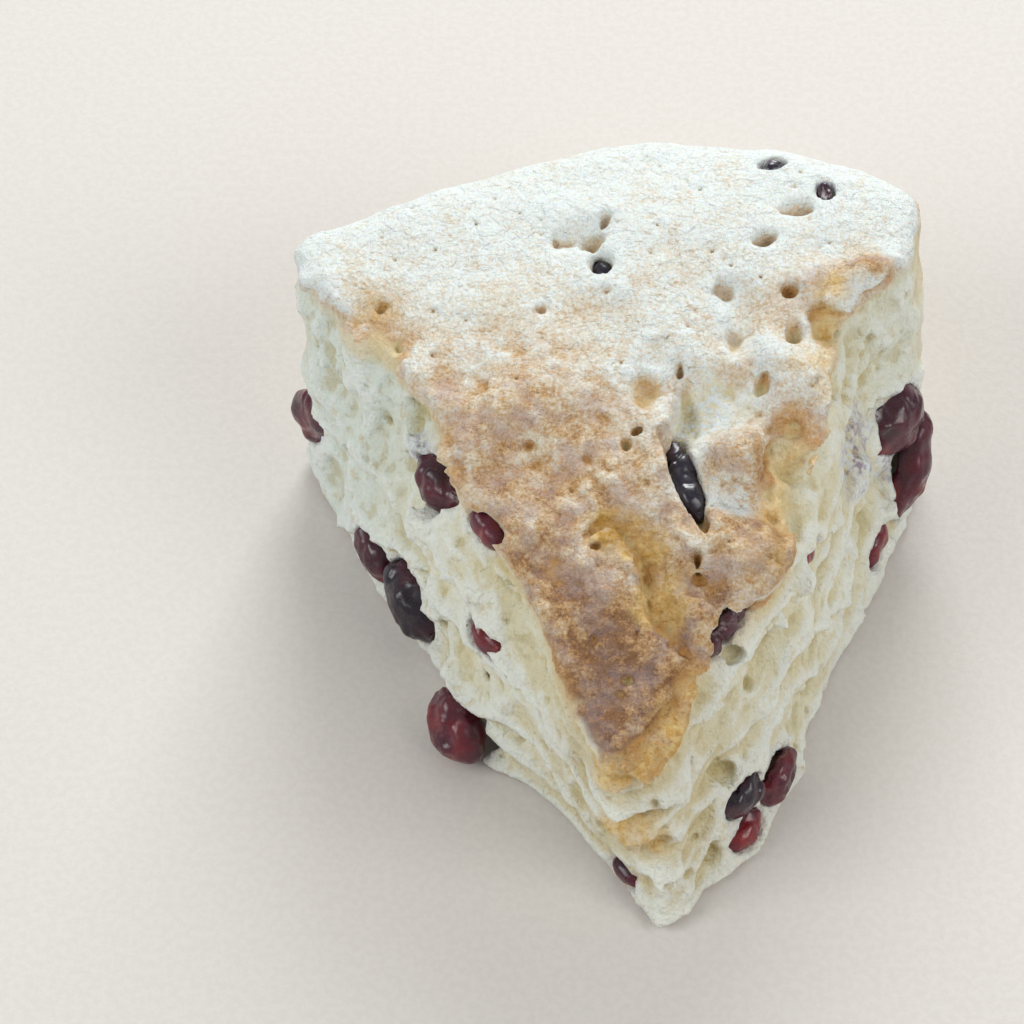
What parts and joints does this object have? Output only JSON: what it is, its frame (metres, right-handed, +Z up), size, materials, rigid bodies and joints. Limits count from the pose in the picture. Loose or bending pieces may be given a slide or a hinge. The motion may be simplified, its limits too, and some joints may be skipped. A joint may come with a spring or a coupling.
{
  "type": "scone",
  "caption": "Wedge scone with dried fruit: flat base, torn layered sides, browned and pitted crust, rounded outer rim.",
  "frame": {"origin": "middle of the bounding box at the flat base", "axes": "+Z up through the crust, -Y towards the tip of the wedge, +X to the right seen from the tip"},
  "size_m": [0.0918, 0.106, 0.0503],
  "materials": {
    "dough": "baked crumb, pale cream on the torn sides and golden brown on the crust",
    "cranberry": "dark red, glossy and wrinkled",
    "raisin": "blue-black, wrinkled"
  },
  "bodies": {
    "root": {"dough": "dough", "cranberry_left_corner": "cranberry", "cranberry_under_left_lip": "cranberry", "cranberry_slab_under_lip": "cranberry", "cranberry_left_slab": "cranberry", "cranberry_left_dark": "cranberry", "cranberry_left_sliver": "cranberry", "cranberry_left_low": "cranberry", "cranberry_right_corner": "cranberry", "cranberry_right_flap": "cranberry", "cranberry_right_small": "cranberry", "cranberry_right_skin": "cranberry", "cranberry_tip_dark": "cranberry", "cranberry_tip_slab": "cranberry", "cranberry_tip_low": "cranberry", "cranberry_tip_left": "cranberry", "cranberry_rim_left": "cranberry", "cranberry_rim_middle": "cranberry", "cranberry_rim_right": "cranberry", "raisin_in_slit": "raisin", "raisin_in_hole": "raisin", "raisin_under_right_lip": "raisin", "raisin_crumb_right_wall": "raisin", "raisin_back_crumb": "raisin", "raisin_right_crumb": "raisin", "raisin_tip_crumb": "raisin", "raisin_rim_left": "raisin"}
  },
  "joints": []
}
